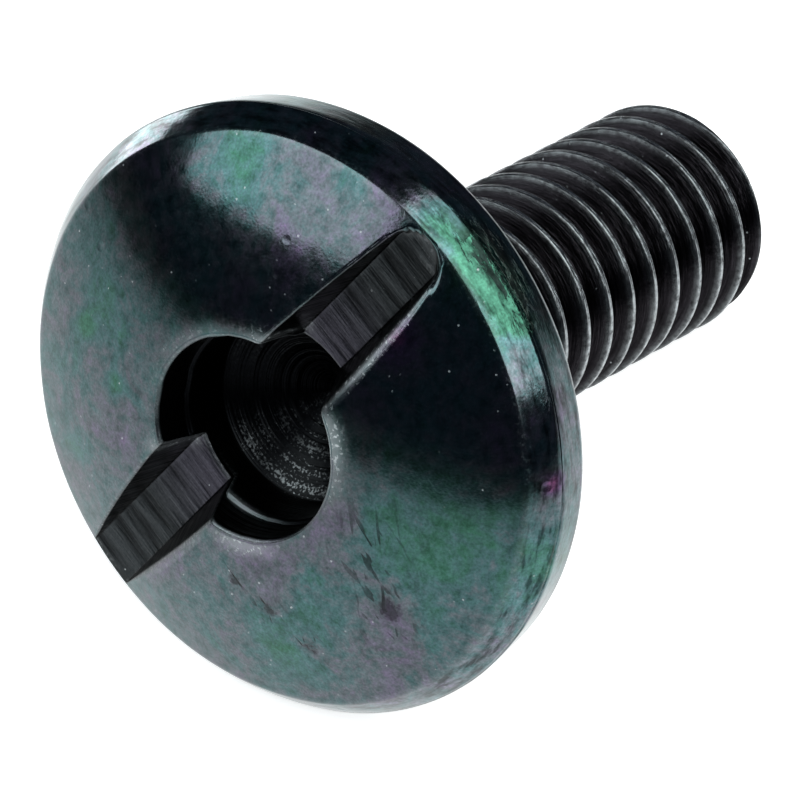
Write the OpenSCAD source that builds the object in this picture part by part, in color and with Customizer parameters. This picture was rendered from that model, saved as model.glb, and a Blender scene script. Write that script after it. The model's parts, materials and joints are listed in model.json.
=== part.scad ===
// Truss head machine screw with a round recess and a slot, lying at rest on its head and tip.
// Millimetres. Under lay_down() the screw stands on its axis: dome up, tip down, bearing face at zero.

/* [Head] */
// Widest diameter of the head, at the parting line round its side
head_d = 15.8; // [14:0.1:18]
// Height of the parting line above the bearing face
parting_h = 1.2; // [0.8:0.05:1.5]
// How far the head's lower edge stands in from the parting line
rim_setback = 0.15; // [0.05:0.05:0.4]
// Radius that rounds the head's lower edge
rim_round = 0.2; // [0.05:0.05:0.4]
// How far the dome's edge stands in from the parting line
shoulder_setback = 0.5; // [0.3:0.05:0.8]
// Height of the dome's edge above the bearing face
shoulder_h = 1.95; // [1.75:0.05:2.2]
// Height of the dome's crown above the bearing face, before the recess is cut
crown_h = 3.7; // [3.3:0.05:4.2]

/* [Round recess] */
// Diameter of the recess at its mouth
mouth_d = 5.2; // [4.6:0.1:6]
// Width of the worn edge round the mouth
mouth_edge = 0.1; // [0.05:0.05:0.3]
// How far each side of the recess steps in at its ledge
ledge_w = 0.1; // [0.05:0.01:0.3]
// Height of the ledge above the bearing face
ledge_h = 2.3; // [1.95:0.05:2.5]
// Height of the edge of the conical floor above the bearing face
floor_h = 0.9; // [0.7:0.05:1.5]
// Included angle of the conical floor
floor_angle = 118; // [100:1:150]

/* [Slot] */
// Width of the slot across its floor
slot_w = 1.33; // [0.9:0.01:2]
// Height of the slot's floor above the bearing face
slot_h = 1.9; // [1.8:0.05:2.3]
// How far the middle of the slot's floor lies to one side of the axis
slot_offset = 0.48; // [-0.6:0.02:0.6]
// Lean of the slot's steep wall
steep_lean = 8; // [0:1:20]
// Lean of the slot's sloping wall
sloping_lean = 24; // [5:1:35]
// Metal left between the slot's closed end and the dome's edge
end_wall = 0.15; // [0.15:0.05:1.5]
// Direction of the slot's closed end, turned about the axis from straight up
slot_turn = -28.6; // [-180:0.2:180]

/* [Thread] */
// Major diameter of the thread
major_d = 6; // [5:0.1:6.5]
// Distance from one crest to the next
pitch = 1; // [0.8:0.05:1.25]
// Length from the bearing face to the end of the tip
shank_len = 16; // [12:0.5:25]
// Length of the chamfer at the tip, also its depth
tip_chamfer = 1.05; // [0.7:0.05:1.2]
// Plain neck between the bearing face and the thread
plain_len = 1; // [0.8:0.1:2]
// How far the neck stands in from the crests, about half the depth of a rolled thread
neck_setback = 0.32; // [0.2:0.01:0.4]
// Distance from the bearing face to the first crest line along the underside
crest_start = 0.39; // [0:0.01:0.79]
// How far the round under the head reaches past the crests
round_past = 0.1; // [0.05:0.05:0.3]

/* [Hidden] */

$fn = 96;
past = 1;                                   // how far a cutter reaches past what it cuts

head_r = head_d / 2;
rim_r = head_r - rim_setback;
shoulder_r = head_r - shoulder_setback;
dome_rise = crown_h - shoulder_h;
dome_r = (shoulder_r * shoulder_r + dome_rise * dome_rise) / (2 * dome_rise);

mouth_r = mouth_d / 2;
recess_r = mouth_r - ledge_w;
floor_drop = recess_r / tan(floor_angle / 2);
edge_r = mouth_r + mouth_edge;
edge_h = crown_h - dome_r + sqrt(dome_r * dome_r - edge_r * edge_r);

slot_reach = shoulder_r - end_wall;         // from the axis to the closed end
slot_top = crown_h + past;

major_r = major_d / 2;
// Metric thread form: 60 degrees between flanks, an eighth of a pitch flat at the crest, a quarter at the root
flank_angle = 30;
crest_w = pitch / 8;
root_w = pitch / 4;
thread_depth = (pitch - crest_w - root_w) / 2 / tan(flank_angle);
root_r = major_r - thread_depth;
neck_r = major_r - neck_setback;
neck_round = neck_setback + round_past;       // so the bearing face starts clear of the thread
// The groove's cutter stands a little proud of the crests, so its own turns never meet
cutter_proud = 0.09 * pitch;
cutter_half_w = (pitch - crest_w) / 2 + cutter_proud * tan(flank_angle);
// It runs from beyond the tip to the plain neck, and lifts out over its last half turn
turn_steps = 32;
runout_steps = turn_steps / 2;
tip_turns = ceil((shank_len - crest_start) / pitch + 1);
groove_turns = tip_turns - (plain_len - crest_start) / pitch;

// The screw lies on the head's lower edge and on its tip: either the last whole crest, or the next ridge
// where the chamfer cuts it. Each is a radius and a distance from the bearing face, along the underside.
tip_start = shank_len - tip_chamfer;
last_crest = crest_start + pitch * floor((tip_start - crest_w / 2 - crest_start) / pitch);
ridge_cut = (last_crest + pitch - crest_w / 2 - tip_start) / (1 + tan(flank_angle));
tip_contacts = [
    [major_r, last_crest + crest_w / 2],
    if (ridge_cut < thread_depth) [major_r - ridge_cut, tip_start + ridge_cut]
];
function tilt_onto(contact) =
    let (rise = rim_r - rim_round - contact[0], run = contact[1] + rim_round)
    atan(rise / run) + asin(rim_round / norm([rise, run]));
rest_tilt = min([for (contact = tip_contacts) tilt_onto(contact)]);
rest_lift = max([for (contact = tip_contacts) contact * [cos(rest_tilt), sin(rest_tilt)]]);
// Its ends along the floor: the dome's crown side behind, the upper edge of the tip's face in front
back_end = -dome_r - (crown_h - dome_r) * cos(rest_tilt);
front_end = shank_len * cos(rest_tilt) + (major_r - tip_chamfer) * sin(rest_tilt);

// Half outline of the head: flat bearing face, rounded lower edge, two side tapers and the dome
module head_outline() {
    intersection() {
        translate([0, crown_h - dome_r]) circle(dome_r, $fn = 360);
        union() {
            polygon([
                [0, 0], [rim_r - rim_round, 0], [rim_r, rim_round],
                [head_r, parting_h], [shoulder_r, shoulder_h], [shoulder_r, crown_h], [0, crown_h]
            ]);
            translate([rim_r - rim_round, rim_round]) circle(rim_round);
        }
    }
}

// Half outline of the shank before threading: the neck and its round under the head, and the chamfered tip
module shank_outline() {
    polygon([
        [0, past], [neck_r, past], [neck_r, -plain_len], [major_r, -plain_len - neck_setback],
        [major_r, tip_chamfer - shank_len], [major_r - tip_chamfer, -shank_len], [0, -shank_len]
    ]);
    difference() {
        translate([0, -neck_round]) square([neck_r + neck_round, neck_round]);
        translate([neck_r + neck_round, -neck_round]) circle(neck_round);
    }
}

// Round recess, one turned profile: a drilled floor, a narrow ledge and the worn edge of the mouth
module round_recess() {
    rotate_extrude($fn = 180)
        polygon([
            [0, floor_h - floor_drop], [recess_r, floor_h], [recess_r, ledge_h], [mouth_r, ledge_h],
            [mouth_r, edge_h - mouth_edge], [edge_r + past, edge_h + past], [0, edge_h + past]
        ]);
}

// Slot: one steep and one sloping wall, open through the rim on one side, closed by a round end on the other
module slot() {
    rise = slot_top - slot_h;
    half = slot_w / 2;
    steep = rise * tan(steep_lean);
    sloping = rise * tan(sloping_lean);
    rotate([0, 0, slot_turn]) translate([0, slot_offset, slot_h]) {
        translate([-head_r - past, 0, 0]) rotate([90, 0, 90])
            linear_extrude(height = head_r + past + slot_reach - half)
                polygon([[-half, 0], [half, 0], [half + steep, rise], [-half - sloping, rise]]);
        translate([slot_reach - half, 0, 0])
            cylinder(h = rise, r1 = half, r2 = half + (steep + sloping) / 2);
    }
}

// One section of the groove's cutter at step i, counted from beyond the tip towards the head
function groove_section(i, steps) =
    let (
        turn = 180 + i * 360 / turn_steps,
        mid = -crest_start - pitch / 2 + pitch * (i / turn_steps - tip_turns),
        out = max(0, i - steps + runout_steps) / runout_steps * (thread_depth + 2 * cutter_proud),
        inner = root_r + out,
        outer = major_r + cutter_proud + out
    )
    [for (p = [
        [inner, -root_w / 2], [outer, -cutter_half_w], [outer, cutter_half_w], [inner, root_w / 2]
    ]) [p[0] * cos(turn), p[0] * sin(turn), mid + p[1]]];

// Right-hand helical groove between the crests, which lifts out of the shank near the head
module thread_groove() {
    steps = ceil(groove_turns * turn_steps);
    points = [for (i = [0 : steps]) each groove_section(i, steps)];
    sides = [for (i = [0 : steps - 1], k = [0 : 3])
        let (a = 4 * i + k, b = 4 * i + (k + 1) % 4)
        each [[a, b, b + 4], [a, b + 4, a + 4]]];
    ends = [[3, 2, 1, 0], [4 * steps, 4 * steps + 1, 4 * steps + 2, 4 * steps + 3]];
    polyhedron(points, concat(sides, ends));
}

// Lays the screw down on the floor, head behind and tip in front, over the middle of its length
module lay_down() {
    translate([-(back_end + front_end) / 2, 0, rest_lift])
        rotate([0, rest_tilt - 90, 0])
            children();
}

module screw() {
    color([0.09, 0.10, 0.10])
        lay_down()
            difference() {
                union() {
                    rotate_extrude($fn = 180) head_outline();
                    rotate_extrude($fn = 180) shank_outline();
                }
                round_recess();
                slot();
                thread_groove();
            }
}

screw();
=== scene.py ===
"""Black truss head machine screw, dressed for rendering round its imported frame."""
import json
import math
from functools import partial

import bmesh
import bpy
import numpy as np
from bpy.props import FloatProperty, FloatVectorProperty, PointerProperty
from mathutils import Matrix, Vector, noise


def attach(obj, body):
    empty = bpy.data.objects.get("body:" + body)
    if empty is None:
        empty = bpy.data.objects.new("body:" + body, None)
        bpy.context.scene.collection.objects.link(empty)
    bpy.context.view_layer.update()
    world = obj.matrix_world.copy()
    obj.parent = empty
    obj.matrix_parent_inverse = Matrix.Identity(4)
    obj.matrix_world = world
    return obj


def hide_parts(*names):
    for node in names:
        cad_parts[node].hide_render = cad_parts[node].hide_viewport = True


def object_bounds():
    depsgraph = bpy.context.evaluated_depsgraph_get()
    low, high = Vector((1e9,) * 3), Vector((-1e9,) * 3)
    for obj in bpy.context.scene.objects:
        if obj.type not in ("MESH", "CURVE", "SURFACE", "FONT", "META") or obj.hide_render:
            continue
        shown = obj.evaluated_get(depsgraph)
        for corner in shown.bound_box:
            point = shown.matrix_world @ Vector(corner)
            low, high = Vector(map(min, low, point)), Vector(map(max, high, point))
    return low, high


bl_info = {
    "name": "Truss Head Machine Screw",
    "version": (1, 0, 0),
    "blender": (4, 5, 0),
    "location": "3D View > Sidebar > Screw",
    "description": "Builds a black machine screw lying on a white studio floor",
    "category": "Add Mesh",
}

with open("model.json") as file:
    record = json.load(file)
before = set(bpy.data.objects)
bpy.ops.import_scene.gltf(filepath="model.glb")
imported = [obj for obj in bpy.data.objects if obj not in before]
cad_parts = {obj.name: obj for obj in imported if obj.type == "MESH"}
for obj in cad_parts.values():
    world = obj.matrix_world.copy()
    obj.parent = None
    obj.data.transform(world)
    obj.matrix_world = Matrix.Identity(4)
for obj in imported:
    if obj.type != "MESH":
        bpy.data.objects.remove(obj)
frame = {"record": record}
CAD_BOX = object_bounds()

MM = 1000.0                                 # millimetres in a metre
HEAD_LINES = 360                            # lines round the head
SHANK_LINES = 96                            # lines round the shank
GAP_LINES = (132, 138)                      # lines between the arms, on the steep side and on the sloping side
MERGE = 0.0006                              # points closer than this, in millimetres, are one point
THIN = 0.004                                # least depth of the slot, in millimetres, where it leaves the dome

# Places on the head in millimetres on its own axis, with the size of each, how far the tint shifts towards green
# (below zero) or purple (above), and how far the skin has flaked or cracked there (past 1 it is a pit)
SKIN_SPOTS = (
    (6.4, 2.3, 2.3, 1.2, -0.1, 0.0), (6.9, -1.9, 2.1, 1.4, 0.1, 0.1), (7.2, -0.6, 2.0, 0.6, -0.14, 0.1),
    (4.9, 0.2, 2.9, 1.2, 0.06, 0.0), (1.6, 4.9, 2.9, 1.6, -0.04, 0.0), (-0.6, 4.0, 3.1, 0.35, -0.25, 0.0),
    (-1.6, 4.2, 3.1, 1.1, 0.1, 0.0), (0.2, 5.4, 2.7, 0.4, -0.25, 0.0), (-4.2, 1.6, 3.0, 1.5, 0.08, 0.1),
    (-0.7, -3.1, 3.4, 0.8, 0.2, 0.0), (-3.2, -1.5, 3.3, 0.9, 0.1, 0.2), (-5.2, -1.7, 2.7, 1.1, -0.13, 0.0),
    (-0.4, -5.3, 2.8, 1.9, -0.16, 0.0), (-1.2, -4.0, 3.1, 1.1, 0.0, 0.9), (-3.1, -4.6, 2.7, 1.0, 0.1, 0.7),
    (4.3, -3.0, 2.9, 0.7, 0.3, 0.0), (6.8, -4.1, 1.4, 0.75, -0.3, 1.0), (6.1, -4.9, 1.4, 0.8, -0.34, 0.9),
    (5.5, -5.5, 1.4, 0.6, -0.2, 0.5), (3.8, -6.7, 1.5, 1.0, 0.16, 0.2), (1.88, -7.5, 1.4, 0.3, 0.42, 0.0),
    (-0.3, -7.7, 1.4, 1.3, -0.1, 0.0), (7.0, -2.8, 1.65, 0.6, -0.22, 0.3), (4.1, -6.5, 1.5, 0.7, -0.16, 0.1),
    (1.3, 4.9, 2.9, 1.0, -0.1, 0.0), (-1.6, 4.9, 2.9, 0.9, -0.08, 0.0), (-3.4, -2.9, 3.1, 0.8, -0.08, 0.0),
    (-4.3, -1.5, 3.0, 0.38, 0.1, 1.5), (-4.9, -2.7, 2.7, 0.38, 0.1, 1.5), (-3.9, -0.5, 3.2, 0.28, 0.0, 1.5),
    (-2.7, -4.7, 2.8, 0.4, 0.06, 0.9),
)
# Places of wear round the mouth, the painted highlight on the ledge, the marks on the drilled floor painted bright
# as highlights, and the deep part of the parting line: degrees from the slot's closed end, spread and strength
MOUTH_WEAR = ((-34, 13, 1.7), (-138, 17, 1.0), (31, 7, 0.9), (152, 6, 0.8), (-60, 14, 0.5), (80, 50, 0.25))
LEDGE_PAINTED_HIGHLIGHT = ((-160, 21, 1.0),)
FLOOR_MARKS_SHEEN = ((-146, 17, 0.9), (172, 12, 0.3), (60, 30, 0.12))
DEEP_LINE = ((-68, 38, 0.85),)

# Where the screw lies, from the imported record: on its own axis the dome is up and the bearing face is at zero
MOUNTS = {m["name"]: m for m in frame["record"]["mounts"]}
AXIS = Vector(MOUNTS["bearing_face"]["axis"]).normalized()
ON_AXIS = Vector(MOUNTS["threaded_shank"]["pos_m"])
BEARING_CENTRE = ON_AXIS + AXIS * (Vector(MOUNTS["bearing_face"]["pos_m"]) - ON_AXIS).dot(AXIS)
UP_AXIS = -AXIS
ACROSS = Vector((0, 1, 0))
TURN = Matrix((ACROSS.cross(UP_AXIS), ACROSS, UP_AXIS)).transposed()
LAY_DOWN = Matrix.Translation(BEARING_CENTRE) @ TURN.to_4x4() @ Matrix.Scale(1 / MM, 4)


def length(name, value, text):
    return FloatProperty(name=name, description=text, default=value / MM, unit="LENGTH", precision=5)


def angle(name, value, text):
    return FloatProperty(name=name, description=text, default=math.radians(value), subtype="ANGLE")


def colour(name, code, text):
    return FloatVectorProperty(name=name, description=text, default=linear(code), subtype="COLOR", size=4)


def linear(code):
    """An sRGB hex colour as linear red, green, blue and alpha."""
    parts = [int(code[i:i + 2], 16) / 255 for i in (1, 3, 5)]
    return tuple(c / 12.92 if c <= 0.04045 else ((c + 0.055) / 1.055) ** 2.4 for c in parts) + (1.0,)


class HeadSizes(bpy.types.PropertyGroup):
    head_d: length("Head diameter", 15.8, "Widest diameter, at the parting line")
    parting_h: length("Parting line height", 1.2, "Above the bearing face")
    rim_setback: length("Rim setback", 0.15, "How far the lower edge stands in from the parting line")
    rim_round: length("Rim rounding", 0.2, "Radius of the lower edge")
    shoulder_setback: length("Shoulder setback", 0.5, "How far the dome's edge stands in from the parting line")
    shoulder_h: length("Shoulder height", 1.95, "Height of the dome's edge above the bearing face")
    shoulder_round: length("Shoulder rounding", 0.3, "Radius of the dome's edge")
    crown_h: length("Crown height", 3.7, "Height of the dome before the recess is cut")
    parting_depth: length("Parting line depth", 0.04, "Depth of the fine line round the side")
    undulation: length("Undulation", 0.012, "Height of the slow waves that tumbling leaves on the head")


class RecessSizes(bpy.types.PropertyGroup):
    mouth_d: length("Mouth diameter", 5.2, "Diameter of the round recess at its mouth")
    mouth_edge: length("Mouth edge", 0.12, "Width of the worn edge round the mouth")
    lip_drop: length("Lip drop", 0.06, "How far the dome sinks towards the mouth")
    lip_reach: length("Lip reach", 0.6, "How far from the mouth the dome starts to sink")
    ledge_w: length("Ledge width", 0.1, "Step on each side of the recess")
    ledge_h: length("Ledge height", 2.3, "Height of the ledge above the bearing face")
    floor_h: length("Floor height", 0.9, "Height of the edge of the conical floor")
    floor_angle: angle("Floor angle", 118, "Included angle of the drilled floor")


class SlotSizes(bpy.types.PropertyGroup):
    slot_w: length("Width", 1.33, "Width across the slot's floor")
    slot_h: length("Floor height", 1.9, "Height of the slot's floor above the bearing face")
    slot_offset: length("Offset", 0.48, "How far the middle of the floor lies from the axis")
    steep_lean: angle("Steep wall", 8, "Lean of the steep wall")
    sloping_lean: angle("Sloping wall", 24, "Lean of the sloping wall")
    end_wall: length("End wall", 0.15, "Metal between the closed end and the dome's edge")
    slot_turn: angle("Direction", -28.6, "Direction of the closed end, about the axis from straight up")
    edge_round: length("Steep wall's edge", 0.1, "Radius of the edge above the steep wall")
    sloping_round: length("Sloping wall's edge", 0.32, "Radius of the worn edge above the sloping wall")
    foot_round: length("Foot rounding", 0.06, "Radius where the walls meet the floor")


class ThreadSizes(bpy.types.PropertyGroup):
    major_d: length("Major diameter", 6, "Diameter over the crests")
    pitch: length("Pitch", 1, "Distance between crests")
    shank_len: length("Length", 16, "From the bearing face to the end of the tip")
    tip_chamfer: length("Tip chamfer", 1.05, "Length and depth of the chamfer at the tip")
    plain_len: length("Neck length", 1, "Plain neck between the bearing face and the thread")
    neck_setback: length("Neck setback", 0.32, "How far the neck stands in from the crests")
    round_past: length("Rounding past the crests", 0.1, "How far the round under the head reaches past the crests")
    crest_start: length("First crest", 0.39, "From the bearing face to the first crest line along the underside")
    seam: length("Crest seam", 0.014, "Depth of the seam that rolling leaves along the crest")


class FinishColours(bpy.types.PropertyGroup):
    green: colour("Green", "#355c4d", "Green tint of the black chromate")
    teal: colour("Teal", "#3f595b", "Teal tint of the black chromate")
    neutral: colour("Neutral", "#4f555a", "Neutral grey of the black chromate")
    purple: colour("Purple", "#5b4c66", "Purple tint of the black chromate")
    magenta: colour("Magenta", "#82466f", "Strongest tint, in one spot on the side")
    cut: colour("Cut metal", "#2d3032", "Charcoal of the cut slot")
    # painted shade: this near black stands for the shade in the recess and on the slot's walls
    bore_shade: colour("Recess shade", "#0b0c0e", "Near black, painted shade of the recess and the slot's walls")
    flank: colour("Thread flank", "#1e1c1f", "Black of the thread's flanks")
    # bare steel where edges wear, also used for the painted highlights along the slot's and mouth's edges, on the
    # ledge and on the recess floor's marks
    wear_and_sheen: colour("Worn edge and sheen", "#b4babd", "Steel that shows at worn edges")


class StudioSettings(bpy.types.PropertyGroup):
    left_light: FloatProperty(name="Left light", description="Radiance of the left soft box", default=2.6)
    right_light: FloatProperty(name="Right light", description="Radiance of the right soft box", default=3.2)
    edge_light: FloatProperty(name="Edge light", description="Radiance of the small lamp at the back", default=4.5)
    floor_size: length("Floor size", 2400, "Side of the floor, and the diameter of the dark dome over it")
    lens: FloatProperty(name="Lens", description="Focal length in millimetres", default=360)
    distance: length("Camera distance", 196.65, "From the camera to the point that it looks at")
    heading: angle("Camera heading", 37.83, "Direction of view, from +X towards +Y")
    look_down: angle("Camera look down", 45.04, "How far the view points below the horizon")
    aim_right: length("Aim right", 1.824, "From the middle of the bearing face to the middle of the view")
    aim_down: length("Aim down", 0.132, "From the middle of the bearing face to the middle of the view")


def in_mm(group):
    """A size group's lengths in millimetres and its angles in radians."""
    sizes = {}
    for name, prop in group.bl_rna.properties.items():
        if prop.type == "FLOAT" and not prop.is_array:
            sizes[name] = getattr(group, name) * (MM if prop.unit == "LENGTH" else 1)
    return sizes


def smooth(x):
    x = np.clip(x, 0, 1)
    return x * x * (3 - 2 * x)


# ---- the head

def dome_height(r, h):
    rim = h["head_d"] / 2 - h["shoulder_setback"]
    rise = h["crown_h"] - h["shoulder_h"]
    ball = (rim * rim + rise * rise) / (2 * rise)
    return h["crown_h"] - ball + np.sqrt(np.maximum(ball * ball - r * r, 0))


def top_height(r, h, c):
    """The dome with the soft lip where it sinks towards the mouth."""
    near = np.maximum(0, 1 - (r - c["mouth_d"] / 2) / c["lip_reach"])
    return dome_height(r, h) - c["lip_drop"] * near * near


def slot_side(rise, lean, top_round, foot_round):
    """From the dome outside one wall to the foot of that wall: distance from the foot, depth, edge and cut."""
    reach, turn = rise * math.tan(lean), math.pi / 2 - lean
    top_round, foot_round = min(top_round, 0.4 * rise), min(foot_round, 0.25 * rise)
    top_run, foot_run = top_round * math.tan(turn / 2), foot_round * math.tan(turn / 2)
    points = [(reach + top_run + d, rise, 0, 0) for d in (0.95, 0.6, 0.36, 0.2, 0.1, 0.04)]
    for k in range(5):
        a = math.pi / 2 + turn * k / 4
        points.append((reach + top_run + top_round * math.cos(a), rise - top_round * (1 - math.sin(a)),
                       math.sin(math.pi * (0.15 + 0.7 * k / 4)), 0.6 * k / 4))
    foot = []
    for k in range(4):
        a = -lean - turn * k / 3
        foot.append((-foot_run + foot_round * math.cos(a), foot_round * (1 + math.sin(a)), 0, 0.6 + 0.4 * k / 3))
    for k in range(1, 5):
        a, b = points[10], foot[0]
        points.append((a[0] + (b[0] - a[0]) * k / 5, a[1] + (b[1] - a[1]) * k / 5, 0, 0.6))
    return points + foot


def slot_section(top, s):
    """Across one arm of the slot where the dome is at height top: place, height, edge and cut."""
    rise = max(top - s["slot_h"], THIN)
    half, middle = s["slot_w"] / 2, s["slot_offset"]
    sloping = slot_side(rise, s["sloping_lean"], s["sloping_round"], s["foot_round"])
    steep = slot_side(rise, s["steep_lean"], s["edge_round"], s["foot_round"])
    low = [(middle - half - q, z, e, c) for q, z, e, c in sloping]
    high = [(middle + half + q, z, e, c) for q, z, e, c in reversed(steep)]
    a, b = low[-1][0], high[0][0]
    floor = [(a + (b - a) * k / 8, 0, 0, 1) for k in range(1, 8)]
    section = np.array(low + floor + high, float).T
    section[1] += min(s["slot_h"], top - THIN)
    section[2:] *= smooth((top - s["slot_h"]) / 0.08)
    return section


def slot_ring(r, top, s, shoulder_r):
    """Angles from the closed end, heights, edges and cuts of all the lines round the head at one radius."""
    y, z, edge, cut = slot_section(top, s)
    even = np.linspace(y[0], y[-1], len(y))
    spread = smooth((s["slot_h"] + 0.14 - top) / 0.3)
    place = y + (even - y) * spread
    z, edge, cut = (np.interp(place, y, v) for v in (z, edge, cut))
    near, far = np.arcsin(place / r), math.pi - np.arcsin(place[::-1] / r)
    gaps = [np.linspace(start, end, n + 2)[1:-1] for (start, end), n in zip(
        ((near[-1], far[0]), (far[-1], near[0] + 2 * math.pi)), GAP_LINES)]
    around = np.concatenate([near, gaps[0], far, gaps[1]])
    height, wear_and_sheen, inside = (np.concatenate([v, np.full(GAP_LINES[0], f), v[::-1], np.full(GAP_LINES[1], f)])
                            for v, f in ((z, top), (edge, 0.0), (cut, 0.0)))
    # the closed end: its wall leans as the two sides do and rounds over into the dome
    along, across = r * np.cos(around), r * np.sin(around)
    half = s["slot_w"] / 2
    end = shoulder_r - s["end_wall"] - half
    side = (across - s["slot_offset"]) / np.maximum(np.hypot(along - end, across - s["slot_offset"]), 0.01)
    past_end = np.hypot(along - end, across - s["slot_offset"]) - half
    lean = (s["sloping_lean"] + s["steep_lean"]) / 2 - (s["sloping_lean"] - s["steep_lean"]) / 2 * side
    wall = s["slot_h"] + np.maximum(past_end, 0) / np.tan(lean)
    soft = 0.3 - 0.15 * side
    rounded = np.minimum(top, wall) - np.maximum(soft - np.abs(wall - top), 0) ** 2 / (4 * soft)
    closed = (along > end) & (top > s["slot_h"])
    height = np.where(closed, np.minimum(top, np.maximum(rounded, min(s["slot_h"], top - THIN))), height)
    wear_and_sheen = np.where(closed, np.exp(-((wall - top) / (0.8 * soft)) ** 2), wear_and_sheen)
    inside = np.where(closed, np.where(past_end < 0, 1.0, 0.6 * np.clip((top - wall) / 0.15, 0, 1)), inside)
    # the sloping wall's edge has the most wear, and the most painted highlight, half way along the closed arm
    wear_and_sheen = wear_and_sheen * (0.2 + 0.8 * ((along > 0) & (across < s["slot_offset"])) * np.exp(-((along - 4.4) / 1.3) ** 2))
    return around, height, wear_and_sheen, inside


def wear(around, places):
    """How worn the edge is in each direction, from a list of worn places."""
    turn = np.degrees(around)
    return sum(share * np.exp(-(((turn - middle + 180) % 360 - 180) / spread) ** 2)
               for middle, spread, share in places)


def head_rings(h, c, s):
    """The rings of the head from the middle of the recess to the bearing face: kind, radius, height, share."""
    head_r = h["head_d"] / 2
    shoulder_r, rim_r = head_r - h["shoulder_setback"], head_r - h["rim_setback"]
    mouth_r = c["mouth_d"] / 2
    recess_r = mouth_r - c["ledge_w"]
    slope = 1 / math.tan(c["floor_angle"] / 2)
    corner = 0.12
    rings = [("floor", 0, c["floor_h"] - recess_r * slope, 0)]
    marks = {0.86: -0.01, 0.92: 0.015, 1.75: -0.012, 1.85: 0.018}
    radii = sorted([0.1 * k for k in range(1, 24)] + list(marks))
    for r in radii:
        if r < recess_r - corner:
            rings.append(("floor", r, c["floor_h"] - (recess_r - r) * slope + marks.get(r, 0), 0))
    for k in range(4):
        a = math.radians(31 + 59 * k / 3)
        rings.append(("floor", recess_r - corner + corner * math.sin(a),
                      c["floor_h"] + 0.08 - corner * math.cos(a), 0))
    foot = c["floor_h"] + 0.08
    rings += [("lower wall", recess_r, foot, k / 6) for k in range(1, 6)]
    rings += [("ledge", recess_r, d, g) for g, d in ((0, -0.05), (0.1, -0.015), (0.5, 0), (0.85, 0.005), (1, 0.04))]
    rings += [("upper wall", recess_r, 0, k / 8) for k in range(1, 9)]
    rings += [("mouth", recess_r, 0, math.radians(a)) for a in (12, 30, 50, 70, 90)]
    start, closer = mouth_r + c["mouth_edge"], 6.4      # from there the rings lie closer, for the slot's closed end
    radii = [start + 0.03, start + 0.09, *np.arange(start + 0.2, closer, 0.19), *np.arange(closer, 7.28, 0.085)]
    rings += [("dome", r, top_height(r, h, c), 0) for r in radii]
    # the dome's edge, an arc between the dome's slope and the side's
    rise = h["crown_h"] - h["shoulder_h"]
    ball = (shoulder_r ** 2 + rise ** 2) / (2 * rise)
    a0 = math.asin(shoulder_r / ball)
    drop = h["shoulder_h"] - h["parting_h"]
    a1 = math.atan2(drop, h["shoulder_setback"])
    run = h["shoulder_round"] * math.tan((a1 - a0) / 2)
    cx = shoulder_r - run * math.cos(a0) - h["shoulder_round"] * math.sin(a0)
    cz = h["shoulder_h"] + run * math.sin(a0) - h["shoulder_round"] * math.cos(a0)
    for k in range(6):
        a = a0 + (a1 - a0) * k / 5
        rings.append(("side", cx + h["shoulder_round"] * math.sin(a), cz + h["shoulder_round"] * math.cos(a), 0))
    for k in range(1, 8):                   # the side band, a little full
        f = 0.1 + 0.86 * k / 8
        full = math.sin(math.pi * k / 8)
        rings.append(("side", shoulder_r + h["shoulder_setback"] * f + 0.02 * full,
                      h["shoulder_h"] - drop * f + 0.013 * full, 0))
    deep, line = h["parting_depth"], h["parting_h"]
    last_in, last_down = 0.008, 0.04        # where the parting line ends and the lower side begins
    groove = ((0.012, 0.024), (0.5 * deep, 0.012), (deep, 0.002), (deep, -0.006), (0.4 * deep, -0.02),
              (last_in, -last_down))
    rings += [("line", head_r - d, line + z, 0) for d, z in groove]
    for k in range(1, 5):
        f = k / 5
        rings.append(("low", head_r - last_in - (h["rim_setback"] - last_in) * f,
                      line - last_down - (line - last_down - h["rim_round"]) * f, 0))
    for k in range(6):
        a = math.radians(90 * k / 5)
        rings.append(("low", rim_r - h["rim_round"] * (1 - math.cos(a)), h["rim_round"] * (1 - math.sin(a)), 0))
    rings += [("low", r, 0, 0) for r in (rim_r - 0.3, rim_r - 0.5, 6.2, 5, 4.2, 3.7)]
    return rings


def spun(bm, profile, lines, start):
    """Turns a profile of radius and height pairs round the axis, and numbers its rings in the layer 'ring'."""
    ring = bm.verts.layers.int.get("ring") or bm.verts.layers.int.new("ring")
    verts = []
    for k, (r, z) in enumerate(profile):
        vert = bm.verts.new((r * math.cos(start), r * math.sin(start), z))
        vert[ring] = k
        verts.append(vert)
    edges = [bm.edges.new(pair) for pair in zip(verts, verts[1:])]
    bmesh.ops.spin(bm, geom=verts + edges, cent=(0, 0, 0), axis=(0, 0, 1), dvec=(0, 0, 0), angle=2 * math.pi,
                   steps=lines, use_merge=True, use_duplicate=False, use_normal_flip=False)


def waves(point, heights):
    """Slow waves in millimetres at a point in millimetres, as (length of a wave, height) pairs."""
    return sum(height * noise.noise(point / size) for size, height in heights)


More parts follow.
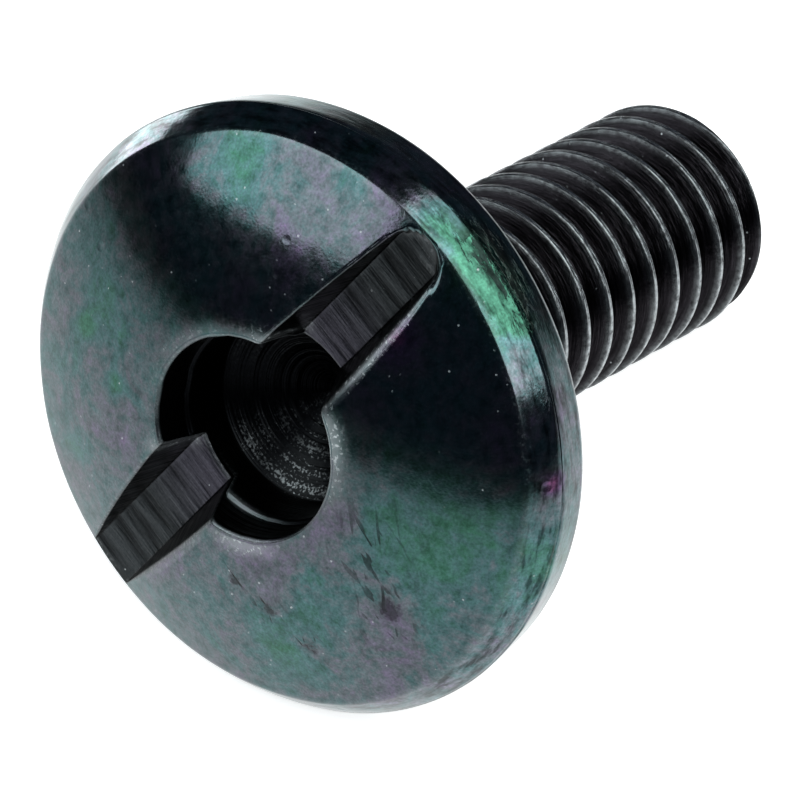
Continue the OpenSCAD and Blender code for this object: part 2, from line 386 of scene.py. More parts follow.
def make_head(bm, h, c, s):
    """The head with its recess and slot: a turned blank whose lines are drawn over to follow the slot's walls."""
    rings = head_rings(h, c, s)
    spun(bm, [(r, z) for _, r, z, _ in rings], HEAD_LINES, 0.0)
    bm.verts.ensure_lookup_table()
    edge, cut, bore_shade, film, flaw = (bm.verts.layers.float.new(n) for n in ("edge", "cut", "bore_shade", "film", "flaw"))
    ring = bm.verts.layers.int["ring"]
    shoulder_r = h["head_d"] / 2 - h["shoulder_setback"]
    mouth_r = c["mouth_d"] / 2
    recess_r = mouth_r - c["ledge_w"]

    mouth_around, mouth_height, mouth_worn, mouth_cut = slot_ring(mouth_r, top_height(mouth_r, h, c), s, shoulder_r)
    step = c["ledge_w"] * smooth((mouth_height - c["ledge_h"]) / 0.25)
    wall_r = recess_r + step
    lip = c["mouth_edge"] * 0.9
    wall_top = mouth_height - lip
    ledge = np.minimum(c["ledge_h"], wall_top - 0.1)

    last = None
    table = []
    for kind, r, z, share in rings:
        wear_and_sheen, inside, drilled = np.zeros(HEAD_LINES), np.zeros(HEAD_LINES), np.zeros(HEAD_LINES)
        around = mouth_around
        radius, height = np.full(HEAD_LINES, float(r)), np.full(HEAD_LINES, float(z))
        # the recess's rings carry its painted shade
        if kind in ("floor", "lower wall", "ledge", "upper wall"):
            drilled += 1
        if kind == "floor":
            # painted highlight: the recess floor's marks are drawn bright here
            wear_and_sheen = wear(around, FLOOR_MARKS_SHEEN) * (0.25 + 0.75 * smooth((r - 1.4) / 0.6))
        if kind == "lower wall":
            height = z + (ledge - 0.05 - z) * share
        elif kind == "ledge":
            # painted highlight on the ledge, where the recess's painted shade is lifted
            wear_and_sheen = wear(around, LEDGE_PAINTED_HIGHLIGHT)
            drilled = 1 - 0.6 * wear_and_sheen
            radius, height = recess_r + step * share, ledge + z * np.maximum(step / c["ledge_w"], 0.3)
        elif kind == "upper wall":
            start = ledge + 0.04 * np.maximum(step / c["ledge_w"], 0.3)
            radius, height = wall_r, start + (wall_top - start) * share
        elif kind == "mouth":
            radius = wall_r + c["mouth_edge"] * (1 - math.cos(share))
            reach = mouth_r + c["mouth_edge"] * (1 - math.cos(share))
            around, height, wear_and_sheen, inside = slot_ring(reach, top_height(reach, h, c), s, shoulder_r)
            height = height - lip * (1 - math.sin(share))
            wear_and_sheen = np.maximum(wear_and_sheen, math.sin(share * 2) * (0.3 + wear(around, MOUTH_WEAR)))
            drilled += 1 - share / math.radians(90)
        elif kind in ("dome", "side"):
            around, height, wear_and_sheen, inside = slot_ring(r, z, s, shoulder_r)
            wear_and_sheen = np.maximum(wear_and_sheen, 0.9 * wear(around, MOUTH_WEAR) * smooth(1.3 - (r - mouth_r) / 0.5))
            last = around
        elif kind in ("line", "low"):
            around = last
        if kind == "line":                  # shallow all round, and deep in one place
            shallow = h["head_d"] / 2 - 0.01
            radius = shallow - (shallow - r) * (0.15 + wear(around, DEEP_LINE))
        if kind == "side":
            wear_and_sheen = np.maximum(wear_and_sheen, 0.12 * math.exp(-((z - h["shoulder_h"]) / 0.08) ** 2))
        if kind == "low" and z < h["rim_round"]:
            wear_and_sheen = wear_and_sheen + 0.7
        table.append((around + s["slot_turn"], radius, height, wear_and_sheen, inside, drilled))

    grid = np.array(table)                  # ring, value, line
    for vert in bm.verts:
        k = vert[ring]
        line = round(math.atan2(vert.co.y, vert.co.x) / (2 * math.pi) * HEAD_LINES) % HEAD_LINES
        around, radius, height, vert[edge], vert[cut], vert[bore_shade] = grid[k, :, line]
        vert.co = (radius * math.cos(around), radius * math.sin(around), height)
    bmesh.ops.remove_doubles(bm, verts=bm.verts, dist=MERGE)
    bmesh.ops.recalc_face_normals(bm, faces=bm.faces)
    bm.normal_update()
    for vert in bm.verts:
        near = [(math.exp(-((vert.co - Vector(spot[:3])).length / spot[3]) ** 2), *spot[4:]) for spot in SKIN_SPOTS]
        vert[film] = sum(share * shift for share, shift, _ in near)
        vert[flaw] = min(2, sum(share * cracked for share, _, cracked in near))
    flat = len(rings) - 6                   # the last six rings are the bearing face, which stays flat
    moved = []
    for vert in bm.verts:
        if vert[ring] < flat:
            still = 1 - 0.7 * vert[bore_shade]
            heights = ((2.6, h["undulation"] * still), (0.9, 0.35 * h["undulation"]))
            moved.append((vert, vert.normal * waves(vert.co, heights)))
    for vert, by in moved:
        vert.co += by


# ---- the shank

def thread_rows(t):
    """One pitch of the thread from root to root: place along the axis from the crest, and depth under the crest."""
    pitch = t["pitch"]
    deep = pitch * 5 / 16 * math.sqrt(3)
    rows = [(0.0, t["seam"]), (0.02, 0.002), (0.045, 0.0), (0.07, 0.012), (0.09, 0.044)]
    rows += [(k / 100, (k / 100 - 0.0625) * math.sqrt(3)) for k in (14, 20, 26, 32)]
    rows += [(0.355, deep - 0.034), (0.385, deep - 0.01), (0.43, deep), (0.5, deep)]
    rows = [(v * pitch, d * (pitch if k else 1)) for k, (v, d) in enumerate(rows)]
    return [(-v, d) for v, d in rows[:0:-1]] + rows


def wound_thread(bm, t, rows, turns, first):
    """Winds one pitch of the thread once round the axis and repeats the turn along it."""
    ring = bm.verts.layers.int.new("ring")
    verts = []
    for k, (place, depth) in enumerate(rows):
        vert = bm.verts.new((depth - t["major_d"] / 2, 0, first - place))
        vert[ring] = k
        verts.append(vert)
    edges = [bm.edges.new(pair) for pair in zip(verts, verts[1:])]
    bmesh.ops.spin(bm, geom=verts + edges, cent=(0, 0, 0), axis=(0, 0, 1), dvec=(0, 0, t["pitch"] / SHANK_LINES),
                   angle=2 * math.pi, steps=SHANK_LINES, use_merge=False, use_duplicate=False,
                   use_normal_flip=False)
    turn = bm.verts[:] + bm.edges[:] + bm.faces[:]
    for k in range(1, turns):
        copy = bmesh.ops.duplicate(bm, geom=turn)["geom"]
        moved = [v for v in copy if isinstance(v, bmesh.types.BMVert)]
        bmesh.ops.translate(bm, verts=moved, vec=(0, 0, k * t["pitch"]))
    return ring


def make_shank(t):
    """The threaded shank: one pitch of the thread wound up the axis, trimmed to the chamfer and to the neck."""
    major_r = t["major_d"] / 2
    neck_r = major_r - t["neck_setback"]
    pitch, tip = t["pitch"], t["shank_len"]
    rows = thread_rows(t)
    turns_below = math.ceil((tip - t["crest_start"]) / pitch + 1)
    bm = bmesh.new()
    ring = wound_thread(bm, t, rows, turns_below + 2, -t["crest_start"] - pitch * turns_below)
    edge, cut, bore_shade = (bm.verts.layers.float.new(n) for n in ("edge", "cut", "bore_shade"))
    neck_end = 0.7 * t["plain_len"]
    for vert in bm.verts:
        x, turn = -vert.co.z, math.atan2(vert.co.y, vert.co.x)
        place, depth = rows[vert[ring]]
        # the groove's middle beside this point; it lifts out over the last half turn before the neck
        phase = t["crest_start"] - pitch * (turn - math.pi) / (2 * math.pi)
        groove = phase + pitch * (math.floor((x - phase) / pitch) + 0.5)
        depth *= float(smooth((groove - t["plain_len"]) / (pitch / 2) - 1))
        r = major_r - depth
        vert[edge] = math.exp(-(place / (0.07 * pitch)) ** 2)
        if vert[edge] > 0.2:                # small nicks and flats along the crest
            spot = Vector((math.cos(turn), math.sin(turn), x / 3)) * 4.5
            r -= 0.02 * vert[edge] * max(0, noise.noise(spot) - 0.2)
        r = min(r, neck_r + max(0, x - t["plain_len"]), major_r - (x - (tip - t["tip_chamfer"])))
        x = min(max(x, neck_end), tip)
        r = neck_r if x == neck_end else max(r, major_r - t["tip_chamfer"])
        vert.co = (r * math.cos(turn), r * math.sin(turn), -x)
    # the neck with its round under the head, and the end face of the tip
    f = t["neck_setback"] + t["round_past"]
    arc = [math.radians(90 * k / 5) for k in range(6)]
    neck = [(neck_r, -neck_end), (neck_r, -f - 0.04)]
    neck += [(neck_r + f * (1 - math.cos(a)), -f * (1 - math.sin(a))) for a in arc]
    neck += [(neck_r + f + d, 0) for d in (0.05, 0.3)]
    face_r = major_r - t["tip_chamfer"]
    face = [(r, -tip) for r in (face_r, face_r - 0.03, face_r - 0.1, 1.3, 0.6, 0)]
    for profile in (neck, face):
        spun(bm, profile, SHANK_LINES, math.pi)
    mesh = bpy.data.meshes.new("shank")
    bm.to_mesh(mesh)
    bm.free()
    return mesh


def close_up(bm):
    """Fills the flat bearing face between the head and the shank, and points every face outwards."""
    bmesh.ops.remove_doubles(bm, verts=bm.verts, dist=MERGE)
    rims = [e for e in bm.edges if len(e.link_faces) == 1]
    bmesh.ops.triangle_fill(bm, use_beauty=True, edges=rims, normal=(0, 0, -1))
    bmesh.ops.recalc_face_normals(bm, faces=bm.faces)


# ---- materials

def add(tree, kind, inputs, out=0, stops=(), **settings):
    """Adds a node with its settings, gives each input a value or a link, and returns one of its outputs."""
    node = tree.nodes.new(kind)
    for name, value in settings.items():
        setattr(node, name, value)
    for name, value in inputs.items():
        if isinstance(value, bpy.types.NodeSocket):
            tree.links.new(value, node.inputs[name])
        else:
            node.inputs[name].default_value = value
    for k, (place, shade) in enumerate(stops):
        ends = node.color_ramp.elements
        end = ends[k] if k < 2 else ends.new(place)
        end.position = place
        end.color = shade if isinstance(shade, tuple) else (shade, shade, shade, 1)
    return None if out is None else node.outputs[out]


def fresh_tree(name):
    material = bpy.data.materials.new(name)
    material.use_nodes = True
    material.node_tree.nodes.clear()
    return material, material.node_tree


def black_chromate(finish, s, t):
    """Black chromate over bright zinc on cold-headed steel, tumbled: a thin dark glassy skin on metal. It is
    nearly black where nothing lights it, tinted green, teal and purple by the skin's uneven thickness, speckled
    and slightly pitted, and rubbed through to grey metal on sharp edges. The slot is cut and the recess drilled,
    so they are duller; the recess and the slot's walls are painted near black as shade, and painted highlights
    lie along the edges of the slot and the mouth, on the ledge and on the marks of the recess floor. The rolled
    thread has fine streaks that run along it."""
    material, tree = fresh_tree("black_chromate_on_zinc")
    node = partial(add, tree)
    back = TURN.transposed()
    local = node("ShaderNodeMapping", {"Vector": node("ShaderNodeTexCoord", {}, "Object"), "Scale": (MM, MM, MM),
                                       "Location": -(back @ BEARING_CENTRE) * MM, "Rotation": back.to_euler()})
    along_slot = node("ShaderNodeMapping", {"Vector": local, "Rotation": (0, 0, -s["slot_turn"])})
    edge, cut, bore_shade, film, flaw = (node("ShaderNodeAttribute", {}, "Fac", attribute_name=n)
                                   for n in ("edge", "cut", "bore_shade", "film", "flaw"))
    height = node("ShaderNodeSeparateXYZ", {"Vector": local}, "Z")
    on_shank = node("ShaderNodeMath", {0: height, 1: -0.02}, operation="LESS_THAN")
    on_shank = node("ShaderNodeMath", {0: on_shank, 1: bore_shade}, operation="SUBTRACT", use_clamp=True)
    milled = node("ShaderNodeMapRange", {"Value": cut, "From Min": 0.1, "From Max": 0.55})
    slot_floor = node("ShaderNodeMapRange", {"Value": cut, "From Min": 0.65, "From Max": 0.95})
    machined = node("ShaderNodeMath", {0: milled, 1: bore_shade}, operation="MAXIMUM")

    # places along the thread: the distance from the axis, and the height with the helix taken out
    flat_place = node("ShaderNodeVectorMath", {0: local, 1: (1, 1, 0)}, operation="MULTIPLY")
    from_axis = node("ShaderNodeVectorMath", {0: flat_place}, "Value", operation="LENGTH")
    around = node("ShaderNodeTexGradient", {"Vector": local}, "Fac", gradient_type="RADIAL")
    unwound = node("ShaderNodeMath", {0: around, 1: -t["pitch"], 2: height}, operation="MULTIPLY_ADD")
    slow = node("ShaderNodeMath", {0: around, 1: 1.2}, operation="MULTIPLY")
    wound = node("ShaderNodeCombineXYZ", {"X": from_axis, "Y": unwound, "Z": slow})
    turned = node("ShaderNodeCombineXYZ", {"X": from_axis, "Y": height})
    quick = node("ShaderNodeMath", {0: around, 1: 14.0}, operation="MULTIPLY")
    banded = node("ShaderNodeCombineXYZ", {"X": from_axis, "Y": height, "Z": quick})

    # the skin's tint in patches of 2 to 4 mm with placed spots, over mottling of 0.35 mm and speckle of 0.07 mm,
    # which is drawn coarser than the zinc's real grain so that it shows
    patches = node("ShaderNodeTexNoise", {"Vector": local, "Scale": 1 / 1.5, "Detail": 7.0, "Roughness": 0.72,
                                          "Distortion": 0.6})
    mottle = node("ShaderNodeTexNoise", {"Vector": local, "Scale": 1 / 0.35, "Detail": 5.0, "Roughness": 0.7})
    speckle = node("ShaderNodeTexNoise", {"Vector": local, "Scale": 1 / 0.07, "Detail": 2.0})
    patches = node("ShaderNodeMath", {0: patches, 1: 0.65, 2: film}, operation="MULTIPLY_ADD")
    patches = node("ShaderNodeMath", {0: mottle, 1: 0.35, 2: patches}, operation="MULTIPLY_ADD")
    tint = node("ShaderNodeValToRGB", {"Fac": patches}, stops=(
        (0.28, tuple(finish.green)), (0.43, tuple(finish.teal)), (0.54, tuple(finish.neutral)),
        (0.72, tuple(finish.purple)), (0.95, tuple(finish.magenta))))
    shade = node("ShaderNodeValToRGB", {"Fac": mottle}, stops=((0.28, 0.55), (0.5, 1.0), (0.72, 1.3)))
    fine = node("ShaderNodeValToRGB", {"Fac": speckle}, stops=((0.3, 0.8), (0.5, 1.0), (0.72, 1.2)))
    skin = node("ShaderNodeMix", {0: 1.0, 6: tint, 7: shade}, 2, data_type="RGBA", blend_type="MULTIPLY")
    # where the skin is damaged: scratches that cross each other and pits on the dome, and flakes along the side
    scratches = None
    for turn in (18, 45):
        drawn = node("ShaderNodeMapping", {"Vector": local, "Rotation": (0, 0, math.radians(turn)),
                                           "Scale": (16.0, 1.0, 1.0)}, vector_type="TEXTURE")
        drawn = node("ShaderNodeTexNoise", {"Vector": drawn, "Scale": 1 / 0.2, "Detail": 1.0, "Distortion": 0.15})
        drawn = node("ShaderNodeMapRange", {"Value": drawn, "From Min": 0.62, "From Max": 0.66})
        scratches = node("ShaderNodeMath", {0: scratches, 1: drawn}, operation="MAXIMUM") if scratches else drawn
    on_side = node("ShaderNodeMapRange", {"Value": height, "From Min": 1.98, "From Max": 1.85})
    flakes = node("ShaderNodeTexNoise", {"Vector": banded, "Scale": 1 / 0.36, "Detail": 6.0, "Roughness": 0.7,
                                         "Distortion": 0.6})
    ragged = node("ShaderNodeMapRange", {"Value": height, "From Min": 1.3, "From Max": 1.75, "To Min": 0.46,
                                         "To Max": 0.6})
    flakes = node("ShaderNodeMath", {0: flakes, 1: ragged}, operation="SUBTRACT")
    flakes = node("ShaderNodeMapRange", {"Value": flakes, "From Min": 0.0, "From Max": 0.03})
    flakes = node("ShaderNodeMix", {0: on_side, 2: scratches, 3: flakes}, 0)
    flakes = node("ShaderNodeMath", {0: flakes, 1: flaw}, operation="MULTIPLY", use_clamp=True)
    pitted = node("ShaderNodeMath", {0: flaw, 1: mottle}, operation="MULTIPLY")
    pitted = node("ShaderNodeMapRange", {"Value": pitted, "From Min": 0.5, "From Max": 0.66, "To Max": 0.85})
    flakes = node("ShaderNodeMath", {0: flakes, 1: pitted}, operation="MAXIMUM")
    skin = node("ShaderNodeMix", {0: node("ShaderNodeMath", {0: flakes, 1: 0.85}, operation="MULTIPLY"), 6: skin,
                                  7: linear("#1d1e20")}, 2, data_type="RGBA")
    side_lines = node("ShaderNodeTexNoise", {"Vector": banded, "Scale": 1 / 0.22, "Detail": 3.0, "Roughness": 0.65})
    faded = node("ShaderNodeValToRGB", {"Fac": side_lines}, stops=((0.36, 0.45), (0.5, 1.2), (0.66, 1.6)))
    lined = node("ShaderNodeMix", {0: 1.0, 6: skin, 7: faded}, 2, data_type="RGBA", blend_type="MULTIPLY")
    skin = node("ShaderNodeMix", {0: on_side, 6: skin, 7: lined}, 2, data_type="RGBA")
    # the cut slot: cross marks, with a purple cast near the recess; its walls take the recess's near black as
    # painted shade
    squeezed = node("ShaderNodeMapping", {"Vector": along_slot, "Scale": (1.0, 0.1, 0.1)})
    marks = node("ShaderNodeTexNoise", {"Vector": squeezed, "Scale": 1 / 0.3, "Detail": 3.0, "Roughness": 0.6})
    cast = node("ShaderNodeMapRange", {"Value": from_axis, "From Min": 3.0, "From Max": 5.0, "To Min": 0.15,
                                       "To Max": 0.0})
    metal = node("ShaderNodeMix", {0: cast, 6: tuple(finish.cut), 7: tuple(finish.purple)}, 2, data_type="RGBA")
    lines = node("ShaderNodeValToRGB", {"Fac": marks}, stops=((0.36, 0.4), (0.48, 0.9), (0.68, 1.3)))
    metal = node("ShaderNodeMix", {0: 1.0, 6: metal, 7: lines}, 2, data_type="RGBA", blend_type="MULTIPLY")
    metal = node("ShaderNodeMix", {0: slot_floor, 6: tuple(finish.bore_shade), 7: metal}, 2, data_type="RGBA")
    skin = node("ShaderNodeMix", {0: milled, 6: skin, 7: metal}, 2, data_type="RGBA")
    # the drilled recess: near black as painted shade, with marks on its floor painted bright as highlights
    rings = node("ShaderNodeTexNoise", {"Vector": turned, "Scale": 1 / 0.16, "Detail": 2.0, "Roughness": 0.6})
    chatter_and_sheen = node("ShaderNodeTexNoise", {"Vector": local, "Scale": 1 / 0.07, "Detail": 1.0})
    chatter_and_sheen = node("ShaderNodeMath", {0: chatter_and_sheen, 1: rings}, operation="MULTIPLY")
    chatter_and_sheen = node("ShaderNodeMapRange", {"Value": chatter_and_sheen, "From Min": 0.29, "From Max": 0.38, "To Max": 0.6})
    chatter_and_sheen = node("ShaderNodeMath", {0: chatter_and_sheen, 1: edge}, operation="MULTIPLY", use_clamp=True)
    recess_shade_and_marks = node("ShaderNodeMix", {0: chatter_and_sheen, 6: tuple(finish.bore_shade), 7: tuple(finish.wear_and_sheen)}, 2, data_type="RGBA")
    skin = node("ShaderNodeMix", {0: bore_shade, 6: skin, 7: recess_shade_and_marks}, 2, data_type="RGBA")
    # the rolled thread: streaks along the helix, also drawn coarser than the real ones
    streaks = node("ShaderNodeTexNoise", {"Vector": wound, "Scale": 1 / 0.09, "Detail": 4.0, "Roughness": 0.7})
    streaks = node("ShaderNodeValToRGB", {"Fac": streaks}, stops=((0.34, 0.35), (0.5, 0.9), (0.7, 1.9)))
    flank = node("ShaderNodeMix", {0: 1.0, 6: tuple(finish.flank), 7: streaks}, 2, data_type="RGBA",
                 blend_type="MULTIPLY")
    skin = node("ShaderNodeMix", {0: on_shank, 6: skin, 7: flank}, 2, data_type="RGBA")
    skin = node("ShaderNodeMix", {0: 1.0, 6: skin, 7: fine}, 2, data_type="RGBA", blend_type="MULTIPLY")
    # rubbed edges: patchy wear, with a smooth share along the edges of the slot and the mouth that is partly wear
    # and partly painted highlight
    rubs_and_sheen = node("ShaderNodeTexNoise", {"Vector": local, "Scale": 1 / 0.2, "Detail": 4.0, "Roughness": 0.72})
    least = node("ShaderNodeMath", {0: on_shank, 1: -0.16, 2: 0.44}, operation="MULTIPLY_ADD")
    most = node("ShaderNodeMath", {0: on_shank, 1: 0.55, 2: 0.45}, operation="MULTIPLY_ADD")
    rubs_and_sheen = node("ShaderNodeMapRange", {"Value": rubs_and_sheen, "From Min": least, "From Max": 0.58, "To Max": most})
    rubs_and_sheen = node("ShaderNodeMath", {0: rubs_and_sheen, 1: edge}, operation="MULTIPLY", use_clamp=True)
    lip_wear_and_sheen = node("ShaderNodeMath", {0: edge, 1: on_shank}, operation="SUBTRACT", use_clamp=True)
    lip_wear_and_sheen = node("ShaderNodeMath", {0: lip_wear_and_sheen, 1: 0.4}, operation="MULTIPLY")
    rubs_and_sheen = node("ShaderNodeMath", {0: rubs_and_sheen, 1: lip_wear_and_sheen}, operation="MAXIMUM")
    outside = node("ShaderNodeMath", {0: bore_shade, 1: -0.9, 2: 1.0}, operation="MULTIPLY_ADD")
    rubs_and_sheen = node("ShaderNodeMath", {0: rubs_and_sheen, 1: outside}, operation="MULTIPLY")
    # dust and chips of white zinc, which are matt and show in the dark reflections too
    dots = node("ShaderNodeTexVoronoi", {"Vector": local, "Scale": 1 / 0.36}, "Distance")
    dots = node("ShaderNodeMapRange", {"Value": dots, "From Min": 0.045, "From Max": 0.1, "To Min": 0.6,
                                       "To Max": 0.0})
    some = node("ShaderNodeMapRange", {"Value": mottle, "From Min": 0.5, "From Max": 0.54})
    dots = node("ShaderNodeMath", {0: dots, 1: some}, operation="MULTIPLY")
    chips = node("ShaderNodeTexNoise", {"Vector": local, "Scale": 1 / 0.11, "Detail": 2.0})
    chips = node("ShaderNodeMapRange", {"Value": chips, "From Min": 0.56, "From Max": 0.64})
    chips = node("ShaderNodeMath", {0: chips, 1: edge}, operation="MULTIPLY")
    elsewhere = node("ShaderNodeMath", {0: on_shank, 1: bore_shade}, operation="MAXIMUM")
    chips = node("ShaderNodeMath", {0: chips, 1: elsewhere}, operation="SUBTRACT", use_clamp=True)
    dust = node("ShaderNodeMath", {0: dots, 1: chips}, operation="MAXIMUM")
    dust = node("ShaderNodeMath", {0: dust, 1: bore_shade}, operation="SUBTRACT", use_clamp=True)
    rubs_and_sheen = node("ShaderNodeMath", {0: rubs_and_sheen, 1: dust}, operation="MAXIMUM")
    base = node("ShaderNodeMix", {0: rubs_and_sheen, 6: skin, 7: tuple(finish.wear_and_sheen)}, 2, data_type="RGBA")

    rough = node("ShaderNodeMath", {0: mottle, 1: 0.14, 2: 0.06}, operation="MULTIPLY_ADD")
    for mask, more in ((machined, 0.2), (on_shank, 0.1), (flakes, 0.2), (lip_wear_and_sheen, 0.6)):
        rough = node("ShaderNodeMath", {0: mask, 1: more, 2: rough}, operation="MULTIPLY_ADD")

    # relief: orange peel, grain, pits and cracks, then the marks of the cutter, the drill and the thread rolls
    peel = node("ShaderNodeTexNoise", {"Vector": local, "Scale": 1 / 0.6, "Detail": 3.0})
    pits = node("ShaderNodeTexVoronoi", {"Vector": local, "Scale": 1 / 1.3}, "Distance")
    pits = node("ShaderNodeMapRange", {"Value": pits, "From Min": 0.04, "From Max": 0.12})
    relief = None
    for pattern, depth in ((peel, 0.0022), (speckle, 0.0012), (pits, 0.005), (flakes, -0.004),
                           (node("ShaderNodeMath", {0: side_lines, 1: on_side}, operation="MULTIPLY"), 0.006),
                           (node("ShaderNodeMath", {0: marks, 1: milled}, operation="MULTIPLY"), 0.05),
                           (node("ShaderNodeMath", {0: rings, 1: bore_shade}, operation="MULTIPLY"), 0.05),
                           (node("ShaderNodeMath", {0: streaks, 1: on_shank}, operation="MULTIPLY"), 0.004)):
        before = {"Normal": relief} if relief else {}
        relief = node("ShaderNodeBump", {"Height": pattern, "Distance": depth / MM, **before})

    bare = node("ShaderNodeMath", {0: 1.0, 1: dust}, operation="SUBTRACT")
    shader = node("ShaderNodeBsdfPrincipled", {"Base Color": base, "Metallic": bare, "Roughness": rough,
                                               "Normal": relief})
    node("ShaderNodeOutputMaterial", {"Surface": shader}, None)
    return material


def white_paper():
    """Matt white photographer's paper, lit to white round the screw. The camera and every reflection see it a
    little brighter than the lamps alone make it, and it keeps the screw's shadow. In reflections it falls off
    with distance, as a small lit table does in a dark room."""
    material, tree = fresh_tree("white_seamless_paper")
    node = partial(add, tree)
    away = node("ShaderNodeVectorMath", {0: node("ShaderNodeTexCoord", {}, "Object")}, "Value", operation="LENGTH")
    loss = node("ShaderNodeMapRange", {"Value": away, "From Min": 0.01, "From Max": 0.14, "To Max": 0.92})
    mirrored = node("ShaderNodeLightPath", {}, "Is Glossy Ray")
    loss = node("ShaderNodeMath", {0: loss, 1: mirrored}, operation="MULTIPLY")
    tone = node("ShaderNodeMix", {0: loss, 6: linear("#e8e8e8"), 7: linear("#272727")}, 2, data_type="RGBA")
    lift = node("ShaderNodeMath", {0: seen_by(tree, 0.7), 1: loss}, operation="SUBTRACT", use_clamp=True)
    matt = node("ShaderNodeBsdfDiffuse", {"Color": tone})
    glow = node("ShaderNodeEmission", {"Strength": lift})
    node("ShaderNodeOutputMaterial", {"Surface": node("ShaderNodeAddShader", {0: matt, 1: glow})}, None)
    return material


def black_velvet():
    """Black cotton velvet in a dim room, which gives back almost no light, so the metal shows a dark, faintly blue
    room above the floor."""
    material, tree = fresh_tree("black_velvet")
    cloth = add(tree, "ShaderNodeBsdfDiffuse", {"Color": linear("#27292a")})
    dim = add(tree, "ShaderNodeEmission", {"Color": linear("#cbdaff"), "Strength": 0.06})
    both = add(tree, "ShaderNodeAddShader", {0: cloth, 1: dim})
    add(tree, "ShaderNodeOutputMaterial", {"Surface": both}, None)
    return material


def seen_by(tree, strength):
    """A strength that only the camera and reflections see, so it adds no light to the object."""
    rays = tree.nodes.new("ShaderNodeLightPath")
    seen = rays.outputs["Is Camera Ray"]
    for kind in ("Is Glossy Ray", "Is Transmission Ray"):
        seen = add(tree, "ShaderNodeMath", {0: seen, 1: rays.outputs[kind]}, operation="ADD", use_clamp=True)
    return add(tree, "ShaderNodeMath", {0: seen, 1: strength}, operation="MULTIPLY")


# ---- the stage

def direction(azimuth, elevation):
    """A unit vector, from its azimuth from +X towards +Y and its elevation above the floor."""
    return Vector((math.cos(azimuth) * math.cos(elevation), math.sin(azimuth) * math.cos(elevation),
                   math.sin(elevation)))


def soft_box(name, first, second, tall, distance, radiance, tone):
    """A rectangular lamp facing the screw. Its lower edge runs between two directions, each an azimuth and an
    elevation in degrees."""
    a, b = (direction(*map(math.radians, end)) * distance for end in (first, second))
    middle, run = (a + b) / 2, b - a
    rise = run.cross(middle).normalized()
    rise = rise if rise.z > 0 else -rise
    centre = middle + rise * tall / 2
    lamp = bpy.data.lights.new(name, "AREA")
    lamp.shape, lamp.size, lamp.size_y = "RECTANGLE", run.length, tall
    lamp.energy = radiance * math.pi * run.length * tall
    lamp.color = linear(tone)[:3]
    body = bpy.data.objects.new(name, lamp)
    back = centre.normalized()
    side = run.normalized()
    up = back.cross(side)
    body.matrix_world = Matrix.Translation(centre) @ Matrix((side, up, back)).transposed().to_4x4()
    body.visible_camera = False
    bpy.context.scene.collection.objects.link(body)
    return body


class SCREW_OT_body(bpy.types.Operator):
    """Build the screw: head with recess and slot, neck, thread and tip"""
    bl_idname = "screw.body"
    bl_label = "Screw"

    def execute(self, context):
        scene = context.scene
        head, recess, slot, thread = (in_mm(g) for g in (scene.screw_head, scene.screw_recess, scene.screw_slot,
                                                         scene.screw_thread))
        bm = bmesh.new()
        make_head(bm, head, recess, slot)
        shank = make_shank(thread)
        bm.from_mesh(shank)
        bpy.data.meshes.remove(shank)
        close_up(bm)
        bm.transform(LAY_DOWN)
        mesh = bpy.data.meshes.new("screw_body")
        bm.to_mesh(mesh)
        bm.free()
        mesh.polygons.foreach_set("use_smooth", [True] * len(mesh.polygons))
        mesh.materials.append(black_chromate(scene.screw_finish, slot, thread))
        body = bpy.data.objects.new("screw_body", mesh)
        scene.collection.objects.link(body)
        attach(body, "root")
        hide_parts("screw")
        return {"FINISHED"}


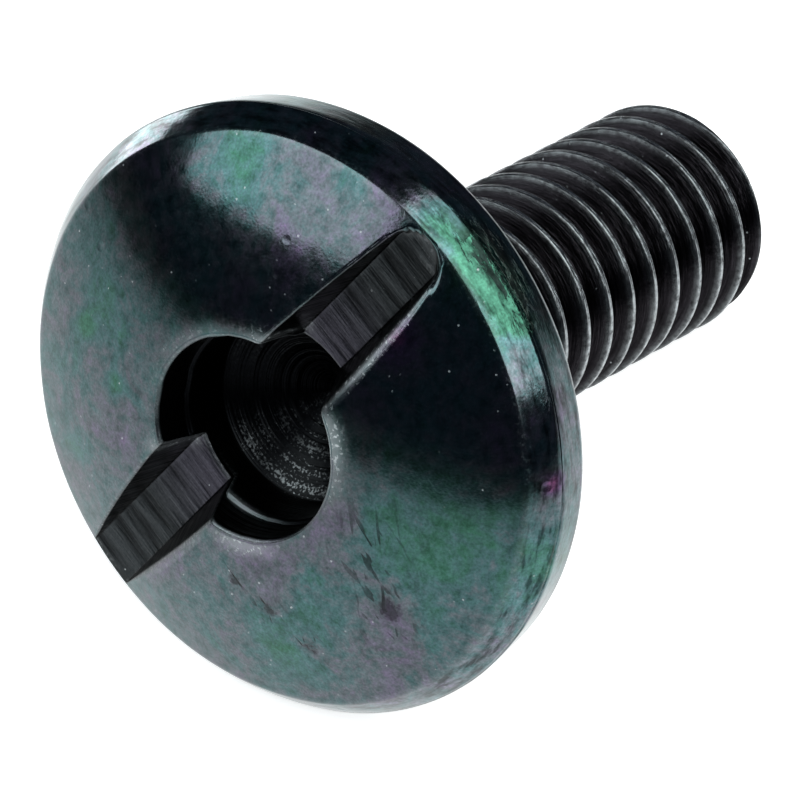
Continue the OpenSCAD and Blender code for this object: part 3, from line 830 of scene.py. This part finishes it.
class SCREW_OT_studio(bpy.types.Operator):
    """Lay the floor, light the screw and set the camera"""
    bl_idname = "screw.studio"
    bl_label = "Studio"

    def execute(self, context):
        scene = context.scene
        studio = scene.screw_studio
        mesh = bpy.data.meshes.new("studio_floor")
        bm = bmesh.new()
        bmesh.ops.create_grid(bm, x_segments=1, y_segments=1, size=studio.floor_size / 2)
        bmesh.ops.translate(bm, verts=bm.verts, vec=(0, 0, CAD_BOX[0].z))
        bm.to_mesh(mesh)
        bm.free()
        mesh.materials.append(white_paper())
        floor = bpy.data.objects.new("studio_floor", mesh)
        scene.collection.objects.link(floor)

        bm = bmesh.new()
        bmesh.ops.create_uvsphere(bm, u_segments=48, v_segments=24, radius=studio.floor_size / 2)
        bmesh.ops.bisect_plane(bm, geom=bm.verts[:] + bm.edges[:] + bm.faces[:], plane_co=(0, 0, 0.002),
                               plane_no=(0, 0, 1), clear_inner=True)
        mesh = bpy.data.meshes.new("velvet_dome")
        bm.to_mesh(mesh)
        bm.free()
        mesh.materials.append(black_velvet())
        dome = bpy.data.objects.new("velvet_dome", mesh)
        dome.visible_camera = False
        scene.collection.objects.link(dome)

        soft_box("soft_box_left", (124, 9.5), (170, 24), 0.34, 0.5, studio.left_light, "#f7ffff")
        soft_box("soft_box_right", (-140, 15), (-70, 15), 0.68, 0.5, studio.right_light, "#f9fffd")
        soft_box("edge_light", (70, 1), (98, 1), 0.015, 0.05, studio.edge_light, "#ffffff")

        world = bpy.data.worlds.new("white_studio")
        world.use_nodes = True
        tree = world.node_tree
        tree.nodes.clear()
        plain = add(tree, "ShaderNodeBackground", {"Color": (1, 1, 1, 1), "Strength": seen_by(tree, 1.0)})
        add(tree, "ShaderNodeOutputWorld", {"Surface": plain}, None)
        scene.world = world

        lens = bpy.data.cameras.new("camera")
        lens.lens, lens.sensor_width = studio.lens, 36.0
        lens.clip_start, lens.clip_end = 0.01, 10.0
        camera = bpy.data.objects.new("camera", lens)
        forward = direction(studio.heading, -studio.look_down)
        right = forward.cross(Vector((0, 0, 1))).normalized()
        up = right.cross(forward)
        aim = BEARING_CENTRE + right * studio.aim_right - up * studio.aim_down
        turn = Matrix((right, up, -forward)).transposed().to_4x4()
        camera.matrix_world = Matrix.Translation(aim - forward * studio.distance) @ turn
        scene.collection.objects.link(camera)
        scene.camera = camera
        scene.view_settings.view_transform = "Standard"
        return {"FINISHED"}


class SCREW_PT_panel(bpy.types.Panel):
    bl_label = "Truss Head Screw"
    bl_idname = "SCREW_PT_panel"
    bl_space_type = "VIEW_3D"
    bl_region_type = "UI"
    bl_category = "Screw"

    def draw(self, context):
        for name in GROUPS:
            box = self.layout.box()
            box.label(text=name.replace("_", " "))
            group = getattr(context.scene, name)
            for prop in group.bl_rna.properties:
                if prop.identifier not in {"rna_type", "name"}:
                    box.prop(group, prop.identifier)
        self.layout.operator("screw.body")
        self.layout.operator("screw.studio")


GROUPS = {
    "screw_head": HeadSizes,
    "screw_recess": RecessSizes,
    "screw_slot": SlotSizes,
    "screw_thread": ThreadSizes,
    "screw_finish": FinishColours,
    "screw_studio": StudioSettings,
}
CLASSES = (*GROUPS.values(), SCREW_OT_body, SCREW_OT_studio, SCREW_PT_panel)


def register():
    for made in CLASSES:
        bpy.utils.register_class(made)
    for name, group in GROUPS.items():
        setattr(bpy.types.Scene, name, PointerProperty(type=group))


def unregister():
    for name in GROUPS:
        delattr(bpy.types.Scene, name)
    for made in reversed(CLASSES):
        bpy.utils.unregister_class(made)


def main():
    register()
    bpy.ops.screw.body()
    bpy.ops.screw.studio()


if __name__ == "__main__":
    main()
